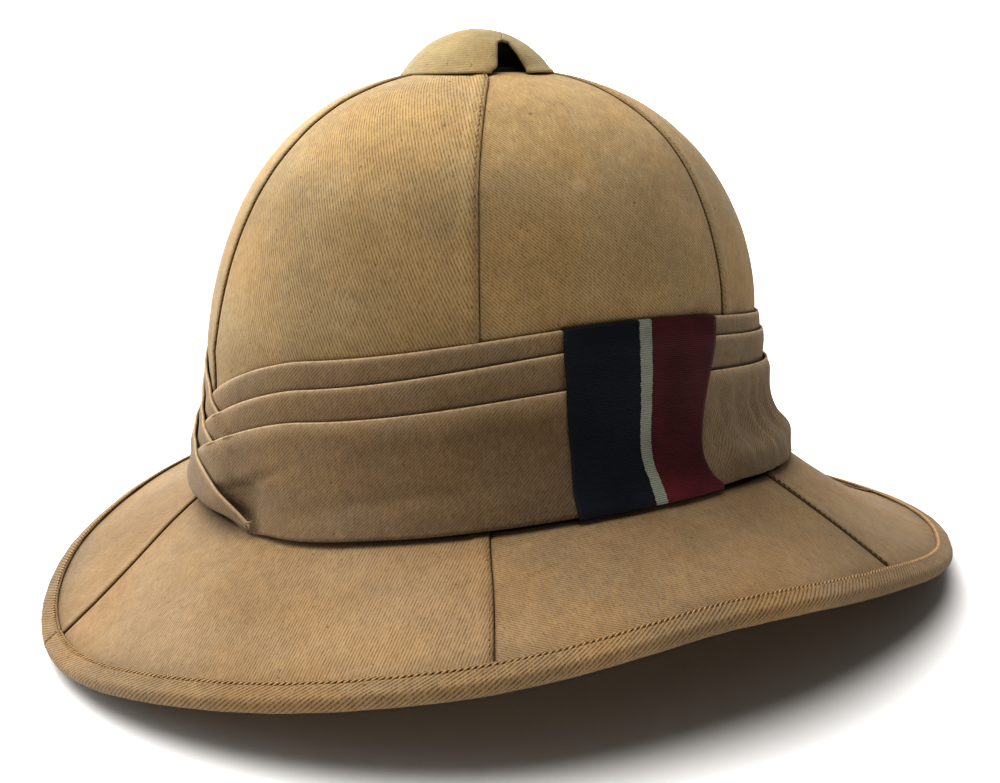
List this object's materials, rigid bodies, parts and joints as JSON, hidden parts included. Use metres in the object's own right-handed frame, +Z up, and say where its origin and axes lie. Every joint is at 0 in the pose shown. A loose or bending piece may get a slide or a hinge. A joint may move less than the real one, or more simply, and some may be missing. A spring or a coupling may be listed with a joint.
{
  "type": "pith helmet",
  "caption": "Sun helmet with a cork body under stitched drill cloth, a wound tiered band crossing at the front, a striped ribbon flash, a bound sloping brim and a domed ventilator.",
  "frame": {"origin": "centre of the helmet's outline, on the surface that the brim stands on", "axes": "+Z up, the wearer faces -Y and has the left hand at +X"},
  "size_m": [0.2976, 0.3594, 0.2047],
  "materials": {
    "drill": "khaki cotton drill, matt",
    "drill_binding": "khaki cotton drill cut on the bias, matt",
    "drill_band": "khaki cotton drill, matt",
    "cork": "moulded cork faced with cloth, matt",
    "ribbon": "woven silk-faced ribbon in navy, pale grey-blue and maroon stripes",
    "collar_metal": "dark lacquered sheet metal"
  },
  "bodies": {
    "root": {"cork_body": "cork", "crown_gore_left_front": "drill", "brim_panel_left_front": "drill", "crown_gore_left_side": "drill", "brim_panel_left_side": "drill", "crown_gore_left_back": "drill", "brim_panel_left_back": "drill", "crown_gore_right_back": "drill", "brim_panel_right_back": "drill", "crown_gore_right_side": "drill", "brim_panel_right_side": "drill", "crown_gore_right_front": "drill", "brim_panel_right_front": "drill", "brim_binding": "drill_binding", "band_upper_tier": "drill_band", "band_middle_tier": "drill_band", "band_lower_tier": "drill_band", "ribbon_flash": "ribbon", "ventilator_collar": "collar_metal", "ventilator_cap": "drill"}
  },
  "joints": []
}
